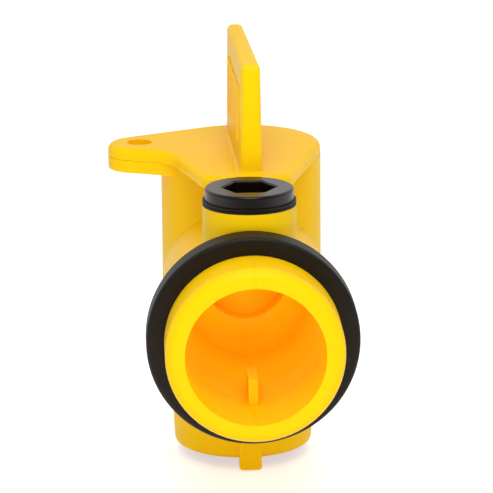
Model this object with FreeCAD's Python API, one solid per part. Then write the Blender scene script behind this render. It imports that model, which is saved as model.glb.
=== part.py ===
import FreeCAD, Part
import math
import os

# A plastic drum tap with a quarter turn lever, seen from its drum side in the reference view.
# Millimetres. The origin is on the inlet axis at the drum sealing face of the gasket.
# -Y points into the drum, +Z is up, and the rotor turns about a vertical axis behind the neck.

# Spigot that goes into the drum's two inch bung
spigot_radius = 29.8
spigot_length = 18.5
spigot_rounding = 4.1
spigot_end_ring = 3.6
bore_radius = 23.4
throat_radius = 21.4
throat_draft = 0.4
throat_start = 11.0
throat_lead = 26.0
bowl_rounding = 12.0
guide_rib_width = 3.2
guide_rib_height = 8.5
guide_rib_front = 4.0
guide_rib_length = 18.0
guide_rib_rake = 1.5
guide_rib_rounding = 1.2

# Flange and the rubber gasket that wraps it
gasket_overhang = 6.0
gasket_wall = 5.0
gasket_lip_length = 4.6
gasket_lip_wall = 2.2
gasket_rounding = 1.3
gasket_groove = 0.8
gasket_gap = 0.1
seat_gap = 0.05
flange_thickness = 5.0

# Neck and the vent boss on top of it
neck_radius = 28.0
boss_into_flange = 0.15
boss_radius = 15.9
boss_top = 41.05
vent_hole_radius = 9.0

# Valve barrel and outlet
barrel_behind_boss = 71.5
barrel_radius = 28.45
barrel_wall = 3.95
barrel_bottom = 31.0
shoulder_height = 5.5
shoulder_step = 2.15
shoulder_bulge = 0.35
nozzle_draft = 1.5
nozzle_end = 64.6
nozzle_rounding = 2.0
socket_step = 0.4
socket_depth = 18.0
ledge_rise = 2.0
ledge_width = 4.0
ledge_thickness = 3.5
ledge_overhang = 1.5
end_wall = 4.6
port_radius = 15.0
port_rise = 4.0
port_lip = 1.5
seal_wall = 2.5
seal_cover = 2.4

# Lug that hangs below the outlet on the drum side
lug_width = 8.0
lug_offset = 1.6
lug_drop = 3.6
lug_proud = 1.9
lug_rounding = 1.2
lug_bite = 0.4

# Lever plate, padlock ears and upright fin
plate_top = 46.3
plate_thickness = 4.2
plate_inset = 0.15
plate_taper = 15.3
plate_swing_gap = 0.7
plate_corner = 3.5
plate_rounding = 2.3
plate_gap = 0.1
plate_end_share = 0.9
ear_reach = 7.55
ear_y = 0.8
ear_radius = 11.2
ear_slant = 22.0
ear_hole_radius = 4.4
ear_fillet = 15.0
lower_ear_thickness = 4.4
fin_height = 38.0
fin_edge_gap = 0.3
fin_base_width = 7.6
fin_draft = 0.55
fin_narrowing = 0.55
fin_back_corner = 3.0
fin_rounding = 1.8
fin_turn = 2.0
fin_offset = -0.05
fin_fillet = 1.2
grip_ribs = 10
grip_rib_width = 2.2
grip_rib_height = 19.0
grip_rib_proud = 0.6
grip_first = 12.0
grip_last = 62.0

# Rotor that carries the lever
fit_gap = 0.08
rotor_wall = 4.5
rotor_top_wall = 6.0
rotor_floor_gap = 0.3
skirt_wall = 3.0
skirt_below_ring = 1.6
window_margin = 0.2
key_width = 15.8
key_depth = 3.8
key_gap = 0.1
screw_radius = 2.0
screw_head_radius = 4.2
screw_head_height = 2.6
screw_reach = 3.0
screw_gap = 0.02

# Seals, washers and the ring under the ledge
oring_section = 1.3
oring_side_gap = 0.3
oring_bore_gap = 0.05
oring_floor_gap = 0.02
upper_oring_height = 31.0
lower_oring_height = -27.0
washer_recess = 0.85
washer_wall = 2.6
washer_gap = 0.2
snap_ring_thickness = 1.5
snap_ring_groove = 1.2
snap_ring_gap = 0.25
snap_ring_opening = 24.0

# Vent plug with its hexagon socket
plug_head_radius = 15.05
plug_head_height = 4.2
plug_head_rounding = 0.9
plug_shank_radius = 13.1
plug_shank_length = 10.0
plug_floor = 3.5
plug_hole_gap = 0.5
hex_across_flats = 16.2
hex_chamfer = 0.5
vent_washer_radius = 15.85
vent_washer_thickness = 1.75
vent_washer_gap = 0.15
vent_washer_groove = 0.35

# Places worked out from the sizes above
gasket_radius = spigot_radius + gasket_overhang
gasket_back = gasket_wall + gasket_lip_length
flange_radius = gasket_radius - gasket_lip_wall - gasket_gap
flange_back = gasket_wall + flange_thickness
boss_y = flange_back - boss_into_flange + boss_radius
barrel_y = boss_y + barrel_behind_boss
body_top = plate_top - plate_thickness - plate_gap
plate_underside = plate_top - plate_thickness
plate_swing = barrel_behind_boss - vent_washer_radius - plate_swing_gap
plate_radius = barrel_radius - plate_inset
ear_x = -barrel_radius - ear_reach
fin_inset = plate_rounding + fin_fillet + fin_edge_gap
fin_front = plate_swing - fin_inset
fin_back = plate_radius - fin_inset
rotor_bore = barrel_radius - barrel_wall
rotor_radius = rotor_bore - fit_gap
rotor_cavity = rotor_bore - rotor_wall
shoulder_foot = -barrel_bottom - shoulder_height
ledge_top = shoulder_foot + ledge_rise
ledge_bottom = ledge_top - ledge_thickness
ledge_radius = rotor_bore - ledge_width
nozzle_bore = ledge_radius + ledge_overhang
socket_radius = nozzle_bore + socket_step
nozzle_top_radius = barrel_radius - shoulder_step
nozzle_end_radius = nozzle_top_radius - nozzle_draft
skirt_radius = ledge_radius - fit_gap
skirt_bore = skirt_radius - skirt_wall
ring_top = ledge_bottom - snap_ring_gap
ring_bottom = ring_top - snap_ring_thickness
rotor_bottom = ring_bottom - skirt_below_ring
bore_end = barrel_y - rotor_bore - end_wall
seal_inner = port_radius + port_lip
seal_outer = seal_inner + seal_wall
plug_head_bottom = boss_top + vent_washer_thickness
plug_head_top = plug_head_bottom + plug_head_height
plug_shank_bottom = plug_head_bottom - plug_shank_length
boss_bore = plug_shank_radius + fit_gap
oring_radius = rotor_bore - oring_bore_gap - oring_section

UP = FreeCAD.Vector(0, 0, 1)
ALONG = FreeCAD.Vector(0, 1, 0)
ACROSS = FreeCAD.Vector(1, 0, 0)
ORIGIN = FreeCAD.Vector(0, 0, 0)
ROTOR_AXIS = FreeCAD.Vector(0, barrel_y, 0)
BOSS_AXIS = FreeCAD.Vector(0, boss_y, 0)


def save(shape, node):
    """Writes one sub-part as a STEP file."""
    shape.exportStep(f"parts/{node}.step")
    print(node, "solids", len(shape.Solids), "valid", shape.isValid(), "volume", round(shape.Volume, 1))


def upright(radius, low, high, axis):
    """A cylinder about a vertical axis."""
    base = FreeCAD.Vector(axis.x, axis.y, low)
    return Part.makeCylinder(radius, high - low, base, UP)


def block(low, high):
    """A box between two corners."""
    size = [high[i] - low[i] for i in range(3)]
    return Part.makeBox(*size, FreeCAD.Vector(*low))


def port(radius, front):
    """A cylinder along the raised port, up to the rotor's axis."""
    return Part.makeCylinder(radius, barrel_y - front, FreeCAD.Vector(0, front, port_rise), ALONG)


def ring(inner, outer, low, high, axis):
    """A flat ring about a vertical axis."""
    return upright(outer, low, high, axis).cut(upright(inner, low - 1, high + 1, axis))


def rounded_wire(corners, place):
    """A closed outline of straight runs with a rounded corner at each (x, y, radius)."""
    runs = []
    count = len(corners)
    for i, (x, y, radius) in enumerate(corners):
        point = FreeCAD.Vector(x, y, 0)
        before = FreeCAD.Vector(*corners[i - 1][:2], 0) - point
        after = FreeCAD.Vector(*corners[(i + 1) % count][:2], 0) - point
        half = before.getAngle(after) / 2
        inward = before.normalize() + after.normalize()
        inward.normalize()
        start = point + before * (radius / math.tan(half))
        end = point + after * (radius / math.tan(half))
        middle = point + inward * (radius / math.sin(half) - radius)
        runs.append((start, middle, end, radius))
    edges = []
    for i, (start, middle, end, radius) in enumerate(runs):
        if radius > 0:
            edges.append(Part.Arc(place(start), place(middle), place(end)).toShape())
        following = runs[(i + 1) % count][0]
        edges.append(Part.LineSegment(place(end), place(following)).toShape())
    return Part.Wire(edges)


def prism(corners, low, high, axis):
    """An upright prism of a rounded outline given about a vertical axis."""
    wire = rounded_wire(corners, lambda p: FreeCAD.Vector(p.x + axis.x, p.y + axis.y, low))
    return Part.Face(wire).extrude(FreeCAD.Vector(0, 0, high - low))


def meet(point, direction, other, along):
    """The crossing of two lines in plan."""
    cross = direction[0] * along[1] - direction[1] * along[0]
    gap = (other[0] - point[0], other[1] - point[1])
    step = (gap[0] * along[1] - gap[1] * along[0]) / cross
    return (point[0] + direction[0] * step, point[1] + direction[1] * step)


def revolved(points, axis, direction):
    """A solid of revolution of a closed outline of straight runs and arcs. A pair is a point to
    run to, and two pairs in one entry are an arc's middle and end."""
    edges = []
    here = FreeCAD.Vector(*points[0])
    for entry in points[1:] + [points[0]]:
        if isinstance(entry[0], tuple):
            middle, end = (FreeCAD.Vector(*p) for p in entry)
            edges.append(Part.Arc(here, middle, end).toShape())
            here = end
        else:
            end = FreeCAD.Vector(*entry)
            edges.append(Part.LineSegment(here, end).toShape())
            here = end
    return Part.Face(Part.Wire(edges)).revolve(axis, direction, 360)


def far_tangent(radius):
    """The direction, in plan, of the outward normal where a line touches the ear and a circle."""
    distance = math.hypot(ear_x, ear_y)
    return math.atan2(ear_y, ear_x) - math.acos((radius - ear_radius) / distance)


def near_edge():
    """A point and the run of the ear's near edge, which slants towards the inlet."""
    slant = math.radians(ear_slant)
    point = (ear_x - ear_radius * math.sin(slant), ear_y - ear_radius * math.cos(slant))
    return point, (math.cos(slant), -math.sin(slant))


def ear_corner(radius):
    """The corner that the ear's far and near edges would make without its rounding."""
    turn = far_tangent(radius)
    touch = (radius * math.cos(turn), radius * math.sin(turn))
    return meet(touch, (-math.sin(turn), math.cos(turn)), *near_edge())


# Body

def spigot_and_neck():
    """Spigot with its rounded end, gasket groove, flange and neck, about the inlet axis."""
    ring_edge = bore_radius + spigot_end_ring
    depth = spigot_radius - ring_edge
    bulge = math.sqrt(0.5)
    front = -spigot_length
    middle = (0, front + spigot_rounding * (1 - bulge), ring_edge + depth * bulge)
    groove = spigot_radius - gasket_groove
    outline = [
        (0, front, 0),
        (0, front, ring_edge),
        (middle, (0, front + spigot_rounding, spigot_radius)),
        (0, 0, spigot_radius),
        (0, 0, groove),
        (0, gasket_wall, groove),
        (0, gasket_wall, flange_radius),
        (0, flange_back, flange_radius),
        (0, flange_back, neck_radius),
        (0, barrel_y, neck_radius),
        (0, barrel_y, 0),
    ]
    return revolved(outline, ORIGIN, ALONG)


def barrel():
    """Valve barrel, shoulder and the drafted outlet nozzle, about the rotor axis."""
    bulge = math.sqrt(0.5)
    rounded = nozzle_end_radius - nozzle_rounding
    shoulder_middle = (barrel_radius + nozzle_top_radius) / 2 + shoulder_bulge
    outline = [
        (0, barrel_y, body_top),
        (0, barrel_y + barrel_radius, body_top),
        (0, barrel_y + barrel_radius, -barrel_bottom),
        (
            (0, barrel_y + shoulder_middle, -barrel_bottom - shoulder_height / 2),
            (0, barrel_y + nozzle_top_radius, shoulder_foot),
        ),
        (0, barrel_y + nozzle_end_radius, -nozzle_end + nozzle_rounding),
        (
            (0, barrel_y + rounded + nozzle_rounding * bulge, -nozzle_end + nozzle_rounding * (1 - bulge)),
            (0, barrel_y + rounded, -nozzle_end),
        ),
        (0, barrel_y, -nozzle_end),
    ]
    return revolved(outline, ROTOR_AXIS, UP)


def lower_ear():
    """Padlock ear on the body, under the lever's own ear."""
    turn = far_tangent(barrel_radius)
    corner = ear_corner(barrel_radius)
    inside = meet((-barrel_radius / 2, 0), (0, -1), *near_edge())
    outline = [
        (*corner, ear_radius),
        (*inside, 0),
        (barrel_radius * math.cos(turn), barrel_radius * math.sin(turn), 0),
    ]
    return prism(outline, body_top - lower_ear_thickness, body_top, ROTOR_AXIS)


def outlet_lug():
    """Lug down the drum side of the nozzle, ending below the outlet."""
    left = lug_offset - lug_width / 2
    right = lug_offset + lug_width / 2
    low = -nozzle_end - lug_drop
    high = -barrel_bottom - 1
    corners = [(left, low, lug_rounding), (right, low, lug_rounding), (right, high, 0), (left, high, 0)]
    front = barrel_y - nozzle_end_radius - lug_proud
    back = barrel_y - math.hypot(socket_radius, right) + lug_bite
    wire = rounded_wire(corners, lambda p: FreeCAD.Vector(p.x, front, p.y))
    return Part.Face(wire).extrude(FreeCAD.Vector(0, back - front, 0))


def rotor_space():
    """Everything that is cut out about the rotor axis."""
    space = upright(rotor_bore, ledge_top, body_top + 1, ROTOR_AXIS)
    space = space.fuse(upright(ledge_radius, ledge_bottom - 1, ledge_top + 1, ROTOR_AXIS))
    space = space.fuse(upright(nozzle_bore, -nozzle_end - 1, ledge_bottom, ROTOR_AXIS))
    space = space.fuse(upright(socket_radius, -nozzle_end - 1, -nozzle_end + socket_depth, ROTOR_AXIS))
    recess = rotor_bore + washer_gap + washer_wall + washer_gap
    return space.fuse(upright(recess, body_top - washer_recess, body_top + 1, ROTOR_AXIS))


def inlet_space():
    """Bore, the long curve that leads into the drafted throat, the rounded bowl that ends it, and the
    port with the groove of its seal."""
    lead_end = throat_start + throat_lead
    lead_middle = throat_radius + (bore_radius - throat_radius) / 4
    throat_end = throat_radius - throat_draft
    bowl_start = bore_end - bowl_rounding
    bulge = bowl_rounding * math.sqrt(0.5)
    outline = [
        (0, -spigot_length - 1, 0),
        (0, -spigot_length - 1, bore_radius),
        (0, throat_start, bore_radius),
        ((0, throat_start + throat_lead / 2, lead_middle), (0, lead_end, throat_radius)),
        (0, bowl_start, throat_end),
        (
            (0, bowl_start + bulge, throat_end - bowl_rounding + bulge),
            (0, bore_end, throat_end - bowl_rounding),
        ),
        (0, bore_end, 0),
    ]
    space = revolved(outline, ORIGIN, ALONG)
    space = space.fuse(port(port_radius, bowl_start))
    groove = port(seal_outer, bore_end + seal_cover)
    return space.fuse(groove.cut(port(seal_inner, bore_end)))


def vent_space():
    """Threaded bore of the vent boss and the smaller hole under it."""
    space = upright(boss_bore, plug_shank_bottom - plug_hole_gap, boss_top + 1, BOSS_AXIS)
    return space.fuse(upright(vent_hole_radius, 0, boss_top, BOSS_AXIS))


def guide_rib():
    """Rib that stands on the floor of the inlet, with a rounded top."""
    low = -bore_radius - 1
    high = -bore_radius + guide_rib_height
    back = guide_rib_front + guide_rib_length
    side = [
        (guide_rib_front, low, 0),
        (back, low, 0),
        (back, high, guide_rib_rounding),
        (guide_rib_front + guide_rib_rake, high, guide_rib_rounding),
    ]
    wire = rounded_wire(side, lambda p: FreeCAD.Vector(-guide_rib_width / 2, p.x, p.y))
    return Part.Face(wire).extrude(FreeCAD.Vector(guide_rib_width, 0, 0))


def make_body():
    body = spigot_and_neck().fuse(barrel())
    body = body.fuse(upright(boss_radius, 0, boss_top, BOSS_AXIS))
    body = body.fuse(lower_ear())
    body = body.fuse(outlet_lug())
    body = body.cut(inlet_space())
    body = body.cut(rotor_space())
    body = body.cut(vent_space())
    ear = FreeCAD.Vector(ear_x, barrel_y + ear_y, 0)
    body = body.cut(upright(ear_hole_radius, 0, body_top + 1, ear))
    return body.fuse(guide_rib()).removeSplitter()


# Gasket

def make_gasket():
    """Rubber ring whose lip wraps the flange's rim."""
    inner = spigot_radius - gasket_groove + seat_gap
    lip = gasket_radius - gasket_lip_wall
    bulge = gasket_rounding * (1 - math.sqrt(0.5))
    outline = [
        (0, 0, inner),
        (0, 0, gasket_radius - gasket_rounding),
        ((0, bulge, gasket_radius - bulge), (0, gasket_rounding, gasket_radius)),
        (0, gasket_back, gasket_radius),
        (0, gasket_back, lip),
        (0, gasket_wall, lip),
        (0, gasket_wall, inner),
    ]
    return revolved(outline, ORIGIN, ALONG)


# Lever

def plate_corners():
    """Outline of the lever plate about the rotor axis: round over the barrel, an ear on the left
    and two straight sides that close in towards and past the vent plug."""
    taper = math.radians(plate_taper)
    right = (plate_radius * math.cos(taper), -plate_radius * math.sin(taper))
    left = (-right[0], right[1])
    right_run = (math.sin(taper), math.cos(taper))
    left_run = (-math.sin(taper), math.cos(taper))
    turn = far_tangent(plate_radius)
    touch = (plate_radius * math.cos(turn), plate_radius * math.sin(turn))
    far_run = (-math.sin(turn), math.cos(turn))
    end = (0, -plate_swing - plate_corner)
    return [
        (*meet(right, right_run, touch, far_run), plate_radius),
        (*ear_corner(plate_radius), ear_radius),
        (*meet(*near_edge(), left, left_run), ear_fillet),
        (*meet(end, (1, 0), left, left_run), 0),
        (*meet(end, (1, 0), right, right_run), 0),
    ]


def lever_plate():
    """Plate cut short by the arc that swings clear of the vent plug, with its rim rounded."""
    plate = prism(plate_corners(), plate_underside, plate_top, ROTOR_AXIS)
    beyond = block(
        (-plate_radius, barrel_y - plate_swing - 2 * plate_corner, plate_underside - 1),
        (plate_radius, barrel_y - plate_swing / 2, plate_top + 1),
    )
    plate = plate.cut(beyond.cut(upright(plate_swing, plate_underside - 2, plate_top + 2, ROTOR_AXIS)))
    end = barrel_y - plate_swing * plate_end_share
    near = [e for e in plate.Edges if e.BoundBox.ZLength > plate_thickness - 0.01 and e.BoundBox.YMax < end]
    plate = plate.makeFillet(plate_corner, near)
    rim = [e for e in plate.Edges if e.BoundBox.ZMin > plate_top - 0.01]
    return plate.makeFillet(plate_rounding, rim)


def fin_half_width(along, height):
    """Half the fin's width at a place along it and a height over the plate."""
    share = (along + fin_front) / (fin_front + fin_back)
    return fin_base_width / 2 - fin_narrowing * share - fin_draft * height / fin_height


def fin_section(along, low, high, proud=0.0):
    """Outline across the fin, wider than it by proud on both sides."""
    foot = fin_half_width(along, low) + proud
    head = fin_half_width(along, high) + proud
    corners = [(-foot, low), (foot, low), (head, high), (-head, high), (-foot, low)]
    return Part.makePolygon([FreeCAD.Vector(x, along, z) for x, z in corners])


def fin():
    """Upright fin, narrower towards its top and its far end, with rounded edges."""
    low = -1.0
    ends = [fin_section(along, low, fin_height) for along in (-fin_front, fin_back)]
    solid = Part.makeLoft(ends, True, True)
    side = [
        (-fin_front, low - 1, 0),
        (fin_back, low - 1, 0),
        (fin_back, fin_height, fin_back_corner),
        (-fin_front, fin_height, 0),
    ]
    wire = rounded_wire(side, lambda p: FreeCAD.Vector(-fin_base_width, p.x, p.y))
    solid = solid.common(Part.Face(wire).extrude(FreeCAD.Vector(2 * fin_base_width, 0, 0)))
    edges = [e for e in solid.Edges if e.BoundBox.ZMax > low + 0.01]
    return solid.makeFillet(fin_rounding, edges)


def grips():
    """Plain upright grip ribs on both sides of the fin."""
    pitch = (grip_last - grip_first) / (grip_ribs - 1)
    low = (fin_height - grip_rib_height) / 2
    high = low + grip_rib_height
    ribs = []
    for i in range(grip_ribs):
        centre = -fin_front + grip_first + i * pitch
        ends = [centre - grip_rib_width / 2, centre + grip_rib_width / 2]
        wires = [fin_section(along, low, high, grip_rib_proud) for along in ends]
        ribs.append(Part.makeLoft(wires, True, True))
    return ribs


def make_lever():
    """Plate with its ear, the upright fin and the square key that turns the rotor."""
    upright_fin = fin()
    for rib in grips():
        upright_fin = upright_fin.fuse(rib)
    upright_fin.rotate(ORIGIN, UP, fin_turn)
    upright_fin.translate(FreeCAD.Vector(fin_offset, barrel_y, plate_top))
    lever = lever_plate().fuse(upright_fin).removeSplitter()
    foot = [
        e
        for e in lever.Edges
        if abs(e.BoundBox.ZMin - plate_top) < 0.01
        and e.BoundBox.ZLength < 0.01
        and abs(e.CenterOfMass.x - fin_offset) < fin_base_width
        and e.BoundBox.XMax < plate_radius / 2
        and e.BoundBox.XMin > -plate_radius / 2
    ]
    lever = lever.makeFillet(fin_fillet, foot)
    half = key_width / 2
    key = block(
        (-half, barrel_y - half, plate_underside - key_depth),
        (half, barrel_y + half, plate_underside + 1),
    )
    lever = lever.fuse(key)
    ear = FreeCAD.Vector(ear_x, barrel_y + ear_y, 0)
    lever = lever.cut(upright(ear_hole_radius, plate_underside - 1, plate_top + 1, ear))
    pilot = upright(screw_radius + screw_gap, 0, plate_underside + screw_reach + screw_gap, ROTOR_AXIS)
    return lever.cut(pilot).removeSplitter()


# Rotor

def make_rotor():
    """Hollow rotor, open below, with one round window that meets the port when it is open."""
    rotor = upright(rotor_radius, ledge_top + rotor_floor_gap, plate_underside, ROTOR_AXIS)
    rotor = rotor.fuse(upright(skirt_radius, rotor_bottom, ledge_top + 1, ROTOR_AXIS))
    cavity_floor = ledge_top + rotor_floor_gap + skirt_wall
    cavity_top = plate_underside - rotor_top_wall
    rotor = rotor.cut(upright(rotor_cavity, cavity_floor, cavity_top, ROTOR_AXIS))
    rotor = rotor.cut(upright(skirt_bore, rotor_bottom - 1, cavity_floor + 1, ROTOR_AXIS))
    centre = FreeCAD.Vector(0, barrel_y, port_rise)
    window = Part.makeCylinder(port_radius + window_margin, rotor_bore + 1, centre, ACROSS)
    rotor = rotor.cut(window)
    for height in (upper_oring_height, lower_oring_height):
        half = oring_section + oring_side_gap
        floor = oring_radius - oring_section - oring_floor_gap
        rotor = rotor.cut(ring(floor, rotor_bore + 1, height - half, height + half, ROTOR_AXIS))
    groove = skirt_radius - snap_ring_groove
    rotor = rotor.cut(ring(groove, skirt_radius + 1, ring_bottom, ring_top, ROTOR_AXIS))
    half = key_width / 2 + key_gap
    low = plate_underside - key_depth - key_gap
    pocket = block((-half, barrel_y - half, low), (half, barrel_y + half, plate_underside + 1))
    rotor = rotor.cut(pocket)
    return rotor.cut(upright(screw_radius + screw_gap, 0, plate_underside, ROTOR_AXIS)).removeSplitter()


def make_screw():
    """Round headed screw that draws the rotor up to the lever from below."""
    seat = plate_underside - rotor_top_wall
    head = upright(screw_head_radius, seat - screw_head_height, seat, ROTOR_AXIS)
    rim = [e for e in head.Edges if abs(e.CenterOfMass.z - seat + screw_head_height) < 0.01]
    head = head.makeFillet(screw_head_height / 2, rim)
    slot = screw_head_radius / 5
    cut = block(
        (-screw_head_radius, barrel_y - slot / 2, seat - screw_head_height),
        (screw_head_radius, barrel_y + slot / 2, seat - screw_head_height / 2),
    )
    shank = upright(screw_radius, seat - 0.1, plate_underside + screw_reach, ROTOR_AXIS)
    return head.cut(cut).fuse(shank)


def make_oring(height):
    """O-ring in one of the rotor's grooves."""
    place = FreeCAD.Vector(0, barrel_y, height)
    return Part.makeTorus(oring_radius, oring_section, place, UP)


def make_port_seal():
    """Seal round the port, hollowed to the rotor's round side."""
    front = bore_end + seal_cover
    seal = port(seal_outer - seat_gap, front).cut(port(seal_inner + seat_gap, front - 1))
    side = upright(rotor_bore - oring_bore_gap, port_rise - seal_outer, port_rise + seal_outer, ROTOR_AXIS)
    return seal.cut(side)


def make_thrust_washer():
    """Slide washer in the body's top, under the lever plate."""
    inner = rotor_bore + washer_gap
    return ring(inner, inner + washer_wall, body_top - washer_recess, plate_underside, ROTOR_AXIS)


def make_snap_ring():
    """Open spring ring in the rotor's groove, under the body's ledge."""
    inner = skirt_radius - snap_ring_groove + seat_gap
    outer = nozzle_bore - snap_ring_gap
    band = ring(inner, outer, ring_bottom, ring_top, ROTOR_AXIS)
    half = math.radians(snap_ring_opening / 2)
    reach = outer + 1
    corners = [
        FreeCAD.Vector(0, barrel_y, ring_bottom - 1),
        FreeCAD.Vector(reach * math.sin(half), barrel_y + reach * math.cos(half), ring_bottom - 1),
        FreeCAD.Vector(-reach * math.sin(half), barrel_y + reach * math.cos(half), ring_bottom - 1),
    ]
    wedge = Part.Face(Part.makePolygon(corners + [corners[0]]))
    return band.cut(wedge.extrude(FreeCAD.Vector(0, 0, snap_ring_thickness + 2)))


# Vent plug

def hexagon_wire(across, height):
    """Level hexagon about the boss axis with corners to the left and right."""
    corner = across / math.sqrt(3)
    points = []
    for i in range(7):
        angle = math.radians(60 * i)
        points.append(FreeCAD.Vector(corner * math.cos(angle), boss_y + corner * math.sin(angle), height))
    return Part.makePolygon(points)


def make_vent_plug():
    """Screw plug with a flat round head and a deep hexagon socket."""
    head = upright(plug_head_radius, plug_head_bottom, plug_head_top, BOSS_AXIS)
    rim = [e for e in head.Edges if e.BoundBox.ZMin > plug_head_top - 0.01]
    head = head.makeFillet(plug_head_rounding, rim)
    plug = head.fuse(upright(plug_shank_radius, plug_shank_bottom, plug_head_bottom + 1, BOSS_AXIS))
    floor = plug_shank_bottom + plug_floor
    socket = Part.Face(hexagon_wire(hex_across_flats, floor))
    plug = plug.cut(socket.extrude(FreeCAD.Vector(0, 0, plug_head_top + 1 - floor)))
    low = hexagon_wire(hex_across_flats, plug_head_top - hex_chamfer)
    high = hexagon_wire(hex_across_flats + 2 * hex_chamfer, plug_head_top)
    return plug.cut(Part.makeLoft([low, high], True, True))


def make_vent_washer():
    """Flat rubber washer under the plug's head, with a shallow groove round its rim."""
    inner = plug_shank_radius + vent_washer_gap
    washer = ring(inner, vent_washer_radius, boss_top, plug_head_bottom, BOSS_AXIS)
    middle = (boss_top + plug_head_bottom) / 2
    half = vent_washer_groove / 2
    floor = vent_washer_radius - vent_washer_groove
    return washer.cut(ring(floor, vent_washer_radius + 1, middle - half, middle + half, BOSS_AXIS))


def main():
    os.makedirs("parts", exist_ok=True)
    save(make_body(), "tap_body")
    save(make_gasket(), "inlet_gasket")
    save(make_lever(), "lever_handle")
    save(make_rotor(), "rotor_barrel")
    save(make_screw(), "rotor_screw")
    save(make_oring(upper_oring_height), "upper_rotor_oring")
    save(make_oring(lower_oring_height), "lower_rotor_oring")
    save(make_port_seal(), "port_seal")
    save(make_thrust_washer(), "thrust_washer")
    save(make_snap_ring(), "rotor_snap_ring")
    save(make_vent_plug(), "vent_plug")
    save(make_vent_washer(), "vent_washer")


main()
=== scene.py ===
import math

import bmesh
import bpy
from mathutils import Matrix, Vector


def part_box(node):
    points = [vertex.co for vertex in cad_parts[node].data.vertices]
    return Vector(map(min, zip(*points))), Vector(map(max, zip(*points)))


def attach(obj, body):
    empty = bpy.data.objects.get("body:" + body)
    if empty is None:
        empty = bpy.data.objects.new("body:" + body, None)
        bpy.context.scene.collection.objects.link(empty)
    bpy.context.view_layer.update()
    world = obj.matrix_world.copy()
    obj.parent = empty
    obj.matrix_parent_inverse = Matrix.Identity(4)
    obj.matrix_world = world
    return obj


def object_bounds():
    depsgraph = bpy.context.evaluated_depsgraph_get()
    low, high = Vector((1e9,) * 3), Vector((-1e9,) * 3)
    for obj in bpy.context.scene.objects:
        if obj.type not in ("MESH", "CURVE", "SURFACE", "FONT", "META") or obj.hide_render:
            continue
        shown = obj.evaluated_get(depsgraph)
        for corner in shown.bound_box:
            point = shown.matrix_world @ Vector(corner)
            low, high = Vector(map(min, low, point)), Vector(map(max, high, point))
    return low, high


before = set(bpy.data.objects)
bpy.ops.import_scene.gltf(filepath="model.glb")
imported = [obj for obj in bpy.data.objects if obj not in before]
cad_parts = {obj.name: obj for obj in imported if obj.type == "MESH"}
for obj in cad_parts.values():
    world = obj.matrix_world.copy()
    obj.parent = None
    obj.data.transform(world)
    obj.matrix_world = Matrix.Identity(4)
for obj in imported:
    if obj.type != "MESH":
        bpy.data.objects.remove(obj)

# %% [markdown]
# A plastic drum tap, dressed for its portrait. The tap screws into a drum's bung, so this view
# shows what the drum sees: a short spigot with a wide bore, a black gasket behind it, a black
# vent plug on a boss, and the yellow lever with its upright fin over the valve.
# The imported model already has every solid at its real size, so this script adds only what a
# solid can't carry: the moulded finish, the rubber, the threads, the light and the camera.

MM = 0.001
solid_low, solid_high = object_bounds()
print("solids reach from", [round(v, 4) for v in solid_low], "to", [round(v, 4) for v in solid_high])

# %% [markdown]
# Shader maths reads best as an ordinary expression. Wire holds one output of a node, and each
# operator adds the Math node that works it out. The reflected forms let a plain number stand on
# the left, so 1 - mask is as good as mask * 2.

# %% A socket that can be added, multiplied and compared


class Wire:
    """One node output in a material, usable in expressions."""

    def __init__(self, paint, socket):
        self.paint = paint
        self.socket = socket

    def maths(self, operation, *others):
        values = {i: other for i, other in enumerate((self, *others))}
        return self.paint.add("ShaderNodeMath", {"operation": operation}, values)

    def __add__(self, other):
        return self.maths("ADD", other)

    __radd__ = __add__

    def __mul__(self, other):
        return self.maths("MULTIPLY", other)

    __rmul__ = __mul__

    def __sub__(self, other):
        return self.maths("SUBTRACT", other)

    def __rsub__(self, other):
        return self.maths("MULTIPLY", -1.0).maths("ADD", other)

    def __pow__(self, other):
        return self.maths("POWER", other)

    def size(self):
        return self.maths("ABSOLUTE")

    def below(self, edge, softness):
        """1 where the value is under edge, fading to 0 over softness."""
        settings = {"interpolation_type": "SMOOTHSTEP"}
        values = {"Value": self, "From Min": edge, "From Max": edge + softness, "To Min": 1.0, "To Max": 0.0}
        return self.paint.add("ShaderNodeMapRange", settings, values)


# %% [markdown]
# Every other node is made by one method. It takes the node's type, its settings, which are set
# first because some of them change the sockets, and the values or wires for its inputs.

# %% A material that grows by calls to one method


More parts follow.
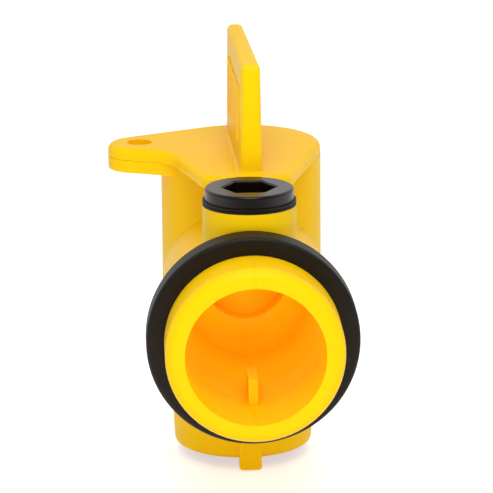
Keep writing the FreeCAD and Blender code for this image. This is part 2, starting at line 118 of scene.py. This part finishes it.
class Paint:
    """A material and its node tree."""

    def __init__(self, name):
        self.material = bpy.data.materials.new(name)
        self.material.use_nodes = True
        self.tree = self.material.node_tree
        self.tree.nodes.clear()
        self.place = self.add("ShaderNodeTexCoord", output="Object")

    def add(self, kind, settings=None, values=None, output=0):
        node = self.tree.nodes.new(kind)
        for name, value in (settings or {}).items():
            setattr(node, name, value)
        for key, value in (values or {}).items():
            if isinstance(value, Wire):
                self.tree.links.new(value.socket, node.inputs[key])
            else:
                node.inputs[key].default_value = value
        return Wire(self, node.outputs[output]) if node.outputs else None

    def axes(self):
        """The X, Y and Z of the point, in metres."""
        split = self.add("ShaderNodeSeparateXYZ", values={0: self.place})
        outputs = split.socket.node.outputs
        return [Wire(self, outputs[i]) for i in range(3)]

    def noise(self, scale, detail=3.0, roughness=0.5, stretch=(1, 1, 1)):
        """Noise with a number of lumps per metre, stretched along the axes."""
        where = self.add("ShaderNodeMapping", values={0: self.place, "Scale": stretch})
        values = {"Vector": where, "Scale": scale, "Detail": detail, "Roughness": roughness}
        return self.add("ShaderNodeTexNoise", values=values)

    def blend(self, share, first, second):
        """First colour where share is 0, second where it is 1."""
        values = {0: share, 6: first, 7: second}
        return self.add("ShaderNodeMix", {"data_type": "RGBA"}, values, output=2)

    def bump(self, height, depth):
        """Surface relief from a height, as deep as depth in metres."""
        values = {"Strength": 1.0, "Distance": depth, "Height": height}
        return self.add("ShaderNodeBump", values=values)

    def finish(self, **sockets):
        """Closes the material with a Principled surface."""
        values = {name.replace("_", " "): value for name, value in sockets.items()}
        surface = self.add("ShaderNodeBsdfPrincipled", values=values)
        self.add("ShaderNodeOutputMaterial", values={"Surface": surface})
        return self.material


def srgb(red, green, blue):
    """A colour picked, 0 to 255, as the linear values that a shader takes."""
    shares = (red / 255, green / 255, blue / 255)
    linear = [v / 12.92 if v < 11 / 255 else ((v + 0.055) / 1.055) ** 2.4 for v in shares]
    return (*linear, 1.0)


# %% [markdown]
# The camera repeats the photograph's. Its place was worked out from the ellipses of the spigot,
# the gasket, the plug and the lever plate: it stands over a metre off, a little to the left of
# the inlet's axis, and looks down by less than fifteen degrees.

# %% Camera at the photograph's viewing angle
FRAME_PIXELS = 493
FOCAL_PIXELS = 3500.0
CAMERA_SWING = math.radians(2.3005)
CAMERA_DIP = math.radians(14.7425)
CAMERA_ROLL = math.radians(-0.478)
CAMERA_SHIFT = Vector((2.3699, -31.8387, 1164.617)) * MM
SENSOR = 36.0

forward = Vector((math.sin(CAMERA_SWING) * math.cos(CAMERA_DIP),
                  math.cos(CAMERA_SWING) * math.cos(CAMERA_DIP), -math.sin(CAMERA_DIP)))
level = Vector((math.cos(CAMERA_SWING), -math.sin(CAMERA_SWING), 0))
upward = level.cross(forward)
right = level * math.cos(CAMERA_ROLL) + upward * math.sin(CAMERA_ROLL)
upward = upward * math.cos(CAMERA_ROLL) - level * math.sin(CAMERA_ROLL)
turned = Matrix((right, upward, -forward)).transposed().to_4x4()
eye = -(right * CAMERA_SHIFT.x + upward * CAMERA_SHIFT.y + forward * CAMERA_SHIFT.z)

lens = bpy.data.cameras.new("portrait")
lens.sensor_width = SENSOR
lens.lens = FOCAL_PIXELS / FRAME_PIXELS * SENSOR
lens.clip_start = 0.05
lens.clip_end = 20
camera = bpy.data.objects.new("portrait", lens)
camera.matrix_world = Matrix.Translation(eye) @ turned
bpy.context.scene.collection.objects.link(camera)
bpy.context.scene.camera = camera
bpy.context.scene.view_settings.view_transform = "Standard"
print("camera at", [round(v, 3) for v in eye], "with a lens of", round(lens.lens, 1), "mm")

# %% [markdown]
# The light is plain and soft, at a level where a colour renders about as it is written. The tap
# stands on a white sweep, as for a catalogue picture. The camera and clear things see it at full
# white. Gloss sees it white behind the tap and dim on the photographer's side, because the walls
# that face the camera show hardly any shine. As a lamp the world is weaker than it looks.

# %% World
WORLD_LIGHT = 0.53
FRONT_SHINE = 0.08
SWEEP_START = -0.6
SWEEP_END = 0.2
PAPER_WHITE = 1.0
scene = bpy.context.scene
world = bpy.data.worlds.new("studio")
scene.world = world
scene.cycles.max_bounces = 16
scene.cycles.diffuse_bounces = 12
world.use_nodes = True
sky = world.node_tree
sky.nodes.clear()


def sky_node(kind, settings=None, values=None):
    """Adds a node to the world, with its settings first and then its values or links."""
    node = sky.nodes.new(kind)
    for name, value in (settings or {}).items():
        setattr(node, name, value)
    for key, value in (values or {}).items():
        if isinstance(value, bpy.types.NodeSocket):
            sky.links.new(value, node.inputs[key])
        else:
            node.inputs[key].default_value = value
    return node


def sky_glow(strength):
    """A white background of one strength, or of a strength that a socket gives."""
    values = {"Color": (1.0, 1.0, 1.0, 1.0), "Strength": strength}
    return sky_node("ShaderNodeBackground", values=values).outputs[0]


def choose(factor, first, second):
    """The first background where the factor is 0, the second where it is 1."""
    return sky_node("ShaderNodeMixShader", values={0: factor, 1: first, 2: second}).outputs[0]


rays = sky_node("ShaderNodeLightPath").outputs
direction = sky_node("ShaderNodeTexCoord").outputs["Generated"]
towards_back = sky_node("ShaderNodeSeparateXYZ", values={0: direction}).outputs["Y"]
fade = {
    "Value": towards_back,
    "From Min": SWEEP_START,
    "From Max": SWEEP_END,
    "To Min": FRONT_SHINE,
    "To Max": PAPER_WHITE,
}
shine = sky_node("ShaderNodeMapRange", {"interpolation_type": "SMOOTHSTEP"}, fade).outputs[0]
seen = {0: rays["Is Camera Ray"], 1: rays["Is Transmission Ray"]}
seen = sky_node("ShaderNodeMath", {"operation": "MAXIMUM"}, seen).outputs[0]
lit = choose(rays["Is Glossy Ray"], sky_glow(WORLD_LIGHT), sky_glow(shine))
sky_node("ShaderNodeOutputWorld", values={"Surface": choose(seen, lit, sky_glow(PAPER_WHITE))})
print("world of", len(sky.nodes), "nodes, lighting at", WORLD_LIGHT)

# %% [markdown]
# Six square panels make the rest of the light. The key is high on the photographer's side and
# the near one hangs over the mouth, so that their shine falls on edges that face upwards. The
# fill is level with the inlet and reaches deep into the bore. One on each side lights the
# barrel's flanks, and one overhead the plate. These four stay out of the gloss, as lamps behind
# a diffuser would, because the photograph shows hardly any shine on the walls.

# %% Panels


def panel(name, place, target, size, watts, shine=True):
    """A soft square light at place that faces target."""
    lamp = bpy.data.lights.new(name, "AREA")
    lamp.size = size
    lamp.energy = watts
    item = bpy.data.objects.new(name, lamp)
    item.location = place
    item.rotation_mode = "QUATERNION"
    item.rotation_quaternion = (Vector(target) - Vector(place)).to_track_quat("-Z", "Y")
    item.visible_camera = False
    item.visible_glossy = shine
    scene.collection.objects.link(item)
    print(f"{name}: {watts} W from", [round(v, 2) for v in place])


middle = (solid_low + solid_high) / 2
mouth = Vector((0, solid_low.y, 0))
panel("key", middle + Vector((-0.02, -0.60, 0.66)), middle, 0.45, 1.3)
panel("near", mouth + Vector((0.0, -0.20, 0.36)), mouth, 0.22, 0.54)
panel("fill", mouth + Vector((0.0, -0.70, -0.06)), mouth, 0.18, 1.55, shine=False)
panel("left", middle + Vector((-0.62, -0.45, -0.01)), middle, 0.3, 0.7, shine=False)
panel("right", middle + Vector((0.66, -0.45, 0.0)), middle, 0.3, 0.9, shine=False)
panel("overhead", middle + Vector((0.0, 0.10, 0.80)), middle, 0.6, 1.2, shine=False)

# %% [markdown]
# The bore is a deep cup, and a cup of yellow plastic glows orange, because each bounce takes more
# of the green away. Much of that light comes through the milky wall, which a solid of one colour
# doesn't let through. Three weak, soft lamps along the inlet's axis stand in for it. Spread
# along the bore, they leave no dark ring where one diameter steps down to the next.

# %% Light that comes through the bore's wall
GLOW_RADIUS = 9 * MM


def glow(name, depth, height, watts):
    """A soft lamp on the inlet's axis, at a depth and a height in millimetres."""
    lamp = bpy.data.lights.new(name, "POINT")
    lamp.energy = watts
    lamp.shadow_soft_size = GLOW_RADIUS
    item = bpy.data.objects.new(name, lamp)
    item.location = Vector((0, depth, height)) * MM
    item.visible_camera = False
    item.visible_glossy = False
    scene.collection.objects.link(item)
    print(f"{name}: {watts * 1000:.1f} mW,", depth, "mm deep")


glow("front_glow", 8, 4, 0.0040)
glow("middle_glow", 36, 0, 0.0042)
glow("deep_glow", 68, 2, 0.0012)

# %% [markdown]
# The floor is a white sheet just under the lug that hangs lowest. It ends a hand's width in front
# of the tap. The lamps light it to a pale grey, and it glows by the rest, so that it meets the
# white background without an edge and still keeps the tap's soft shadow.

# %% Floor
SHEET_FRONT = -0.30
SHEET_REACH = 6.0
SHEET_GAP = 0.5 * MM
SHEET_GREY = (0.9, 0.9, 0.9, 1)
FLOOR_GLOW = 0.54
floor_mesh = bmesh.new()
bmesh.ops.create_grid(floor_mesh, x_segments=1, y_segments=1, size=SHEET_REACH)
lift = Vector((0, SHEET_REACH + SHEET_FRONT, solid_low.z - SHEET_GAP))
bmesh.ops.translate(floor_mesh, verts=floor_mesh.verts, vec=lift)
floor_data = bpy.data.meshes.new("floor")
floor_mesh.to_mesh(floor_data)
floor_mesh.free()
floor = bpy.data.objects.new("floor", floor_data)
scene.collection.objects.link(floor)
floor_paint = Paint("pale_floor")
kinds = ("Is Camera Ray", "Is Glossy Ray", "Is Transmission Ray")
straight, mirrored, through = [floor_paint.add("ShaderNodeLightPath", output=kind) for kind in kinds]
seen_floor = straight.maths("MAXIMUM", mirrored).maths("MAXIMUM", through)
floor_glow = floor_paint.add("ShaderNodeEmission", values={"Strength": seen_floor * FLOOR_GLOW})
floor_diffuse = floor_paint.add("ShaderNodeBsdfDiffuse", values={"Color": SHEET_GREY})
floor_sum = floor_paint.add("ShaderNodeAddShader", values={0: floor_diffuse, 1: floor_glow})
floor_paint.add("ShaderNodeOutputMaterial", values={"Surface": floor_sum})
floor.data.materials.append(floor_paint.material)
print("floor", round((solid_low.z - floor.data.vertices[0].co.z) / MM, 2), "mm below the lug")

# %% [markdown]
# The yellow is an injection moulded plastic: strong pigment in a slightly milky resin. Light
# that wanders through it comes out warmer, so thin edges and the inside of the bore turn
# orange. The skin has a soft gloss that breaks up over faint flow marks, and handling leaves
# dull smudges. Around the boss's axis the body's colour is blended towards a darker olive.
# This is painted shade: it stands in for the shade that the gasket and the plug leave on the boss.

# %% Moulded yellow plastic
SEAM_HALF_WIDTH = 0.08 * MM
SEAM_FADE = 0.18 * MM
SKIN_DEPTH = 0.12 * MM
# Where the painted shade on the boss lies, and the darker olive it is painted in.
BOSS_AXIS = 25.75 * MM
BOSS_SHADE = 16.1 * MM
BOSS_FADE = 1.2 * MM
SHADE_LOW_EDGE = 24.0 * MM
SHADE_LOW_FADE = 7 * MM
SHADE_OLIVE = srgb(229, 188, 1)


def moulded_yellow(name, colour, seam_and_shade):
    """Glossy coloured plastic with flow marks and, on the body, the mould's parting line and a painted shade
    around the boss.
    """
    paint = Paint(name)
    clouds = paint.noise(22.0, detail=4.0)
    flow = paint.noise(90.0, detail=5.0, roughness=0.6, stretch=(1.0, 0.35, 1.0))
    grain = paint.noise(2600.0, detail=2.0)
    deep = tuple(c * f for c, f in zip(colour, (0.99, 0.93, 0.9, 1.0)))
    tint = paint.blend(clouds, colour, deep)
    smudge = paint.noise(48.0, detail=3.0, roughness=0.65)
    roughness = 0.34 + 0.12 * smudge + 0.05 * flow
    height = 0.55 * flow + 0.10 * grain
    if seam_and_shade:
        x, y, z = paint.axes()
        ridge = x.size().below(SEAM_HALF_WIDTH, SEAM_FADE)
        height = height + ridge * 0.6
        # Painted shade: around the boss's axis and above a height, the colour is blended towards a darker
        # olive.
        behind = y - BOSS_AXIS
        painted_shade_mask = ((x * x + behind * behind) ** 0.5).below(BOSS_SHADE, BOSS_FADE)
        below_shade = z.below(SHADE_LOW_EDGE, SHADE_LOW_FADE)
        tint = paint.blend(painted_shade_mask * (1 - below_shade), tint, SHADE_OLIVE)
    relief = paint.bump(height, SKIN_DEPTH)
    return paint.finish(
        Base_Color=tint,
        Roughness=roughness,
        Normal=relief,
        IOR=1.20,
        Subsurface_Weight=0.12,
        Subsurface_Radius=(1.0, 0.45, 0.05),
        Subsurface_Scale=0.0025,
    )


yellow_body = moulded_yellow("yellow_body", srgb(251, 202, 1), True)
yellow_lever = moulded_yellow("yellow_lever", srgb(251, 202, 1), False)
yellow_rotor = moulded_yellow("yellow_rotor", srgb(246, 186, 8), False)
print("yellow shader of", len(yellow_body.node_tree.nodes), "nodes on the body")

# %% [markdown]
# The gasket and the seals are black rubber: nearly matte, a little brown, with fine dust that
# lightens it in patches. The plug is a harder black plastic with more gloss. The inner parts
# show only in a cut, and get a bare slide plastic and brushed steel.

# %% Rubber, black plastic and the small inner parts
RUBBER_DEPTH = 0.08 * MM
PLUG_DEPTH = 0.06 * MM


def black_rubber():
    """Nearly matte, a little brown, lighter where dust lies."""
    paint = Paint("black_rubber")
    dust = paint.noise(70.0, detail=5.0, roughness=0.65)
    fine = paint.noise(1800.0, detail=2.0)
    tint = paint.blend(dust ** 3, srgb(16, 10, 6), srgb(40, 30, 21))
    relief = paint.bump(0.5 * fine + 0.5 * dust, RUBBER_DEPTH)
    return paint.finish(Base_Color=tint, Roughness=0.48 + 0.14 * dust, Normal=relief, IOR=1.35)


def black_plastic():
    """Hard and dark, with a gloss that breaks up in patches."""
    paint = Paint("black_plastic")
    patches = paint.noise(60.0, detail=4.0, roughness=0.6)
    fine = paint.noise(2400.0, detail=2.0)
    tint = paint.blend(patches, srgb(9, 4, 2), srgb(20, 12, 8))
    relief = paint.bump(0.6 * fine + 0.4 * patches, PLUG_DEPTH)
    return paint.finish(Base_Color=tint, Roughness=0.25 + 0.10 * patches, Normal=relief, IOR=1.41)


def slide_plastic():
    """Bare ivory plastic for the washer and the ring that slide."""
    paint = Paint("slide_plastic")
    patches = paint.noise(120.0, detail=3.0)
    tint = paint.blend(patches, srgb(232, 228, 214), srgb(220, 214, 198))
    return paint.finish(Base_Color=tint, Roughness=0.42 + 0.1 * patches, IOR=1.46)


def screw_steel():
    """Steel brushed along the screw's axis."""
    paint = Paint("screw_steel")
    brushed = paint.noise(900.0, detail=3.0, stretch=(1.0, 1.0, 0.1))
    tint = paint.blend(brushed, srgb(190, 190, 188), srgb(214, 213, 210))
    return paint.finish(Base_Color=tint, Metallic=1.0, Roughness=0.26 + 0.14 * brushed)


# %% [markdown]
# Every solid arrives with its own material slots, so a finish only has to be put into them. All
# seals share the gasket's rubber, and the ring shares the washer's slide plastic.

# %% A finish for each piece
finishes = {
    "tap_body": yellow_body,
    "lever_handle": yellow_lever,
    "rotor_barrel": yellow_rotor,
    "inlet_gasket": black_rubber(),
    "vent_plug": black_plastic(),
    "thrust_washer": slide_plastic(),
    "rotor_screw": screw_steel(),
}
for node in ("vent_washer", "port_seal", "upper_rotor_oring", "lower_rotor_oring"):
    finishes[node] = finishes["inlet_gasket"]
finishes["rotor_snap_ring"] = finishes["thrust_washer"]
for node, finish in finishes.items():
    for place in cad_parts[node].material_slots:
        place.material = finish
print("finished", len(finishes), "pieces")

# %% [markdown]
# The plug's shank is a plain cylinder among the solids, because a coupled turn and lift already
# give the thread's travel. When the plug is screwed out, the real one shows its thread. A helix
# could come from a curve with a profile, or from a screw modifier. Here one small profile face is
# spun about the boss's axis and lifted a little at each step, which gives the exact pitch. Its
# foot sits inside the shank, and both ends sink away as a chamfered thread's do. The spin leaves
# its faces in another order on each run, so corners and faces are sorted by their place at the
# end, and the mesh is the same each time.

# %% Thread on the vent plug
THREAD_PITCH = 1.814 * MM
THREAD_TURNS = 3.6
THREAD_STEPS = 40
THREAD_HEIGHT = 0.38 * MM
THREAD_FOOT = 0.62 * MM
THREAD_CREST = 0.16 * MM
THREAD_CHAMFER = 1.1 * MM
THREAD_ROOT = 0.25 * MM
SHANK_RADIUS = 13.1 * MM
SHANK_ROOM = 0.7 * MM


PLACE_WEIGHTS = Vector((1e-3, 1e-6, 1.0))


def place_key(point):
    """One number for a place on the thread, mostly its height."""
    return point.dot(PLACE_WEIGHTS)


def plug_thread():
    """A V-shaped ridge that climbs the plug's shank, closed at both ends."""
    low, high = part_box("vent_plug")
    axis = Vector(((low[0] + high[0]) / 2, (low[1] + high[1]) / 2, 0))
    start = low[2] + SHANK_ROOM + THREAD_FOOT
    deep, crest = SHANK_RADIUS - THREAD_ROOT, SHANK_RADIUS + THREAD_HEIGHT
    ridge = bmesh.new()
    profile = [(deep, -THREAD_FOOT), (crest, -THREAD_CREST), (crest, THREAD_CREST), (deep, THREAD_FOOT)]
    corners = [ridge.verts.new(axis + Vector((out, 0, start + up))) for out, up in profile]
    face = ridge.faces.new(corners)
    steps = round(THREAD_STEPS * THREAD_TURNS)
    climb = Vector((0, 0, THREAD_PITCH / THREAD_STEPS))
    bmesh.ops.spin(ridge, geom=[face, *face.edges, *face.verts], cent=axis, axis=(0, 0, 1), dvec=climb,
                   angle=2 * math.pi * THREAD_TURNS, steps=steps, use_merge=False, use_duplicate=False)
    bmesh.ops.holes_fill(ridge, edges=[edge for edge in ridge.edges if edge.is_boundary])
    bottom = min(corner.co.z for corner in ridge.verts)
    top = max(corner.co.z for corner in ridge.verts)
    for corner in ridge.verts:
        spoke = corner.co - axis
        room = min(corner.co.z - bottom, top - corner.co.z) / THREAD_CHAMFER
        widest = deep + (crest - deep) * min(1.0, room)
        spoke.z = 0
        if spoke.length > widest:
            corner.co -= spoke * (1 - widest / spoke.length)
    bmesh.ops.recalc_face_normals(ridge, faces=ridge.faces)
    ridge.verts.sort(key=lambda corner: place_key(corner.co))
    ridge.faces.sort(key=lambda side: place_key(side.calc_center_median()))
    data = bpy.data.meshes.new("plug_thread")
    ridge.to_mesh(data)
    ridge.free()
    return bpy.data.objects.new("plug_thread", data)


thread = plug_thread()
scene.collection.objects.link(thread)
thread.data.materials.append(finishes["vent_plug"])
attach(thread, "vent_screw")
print("thread of", len(thread.data.polygons), "faces, pitch", THREAD_PITCH / MM, "mm")
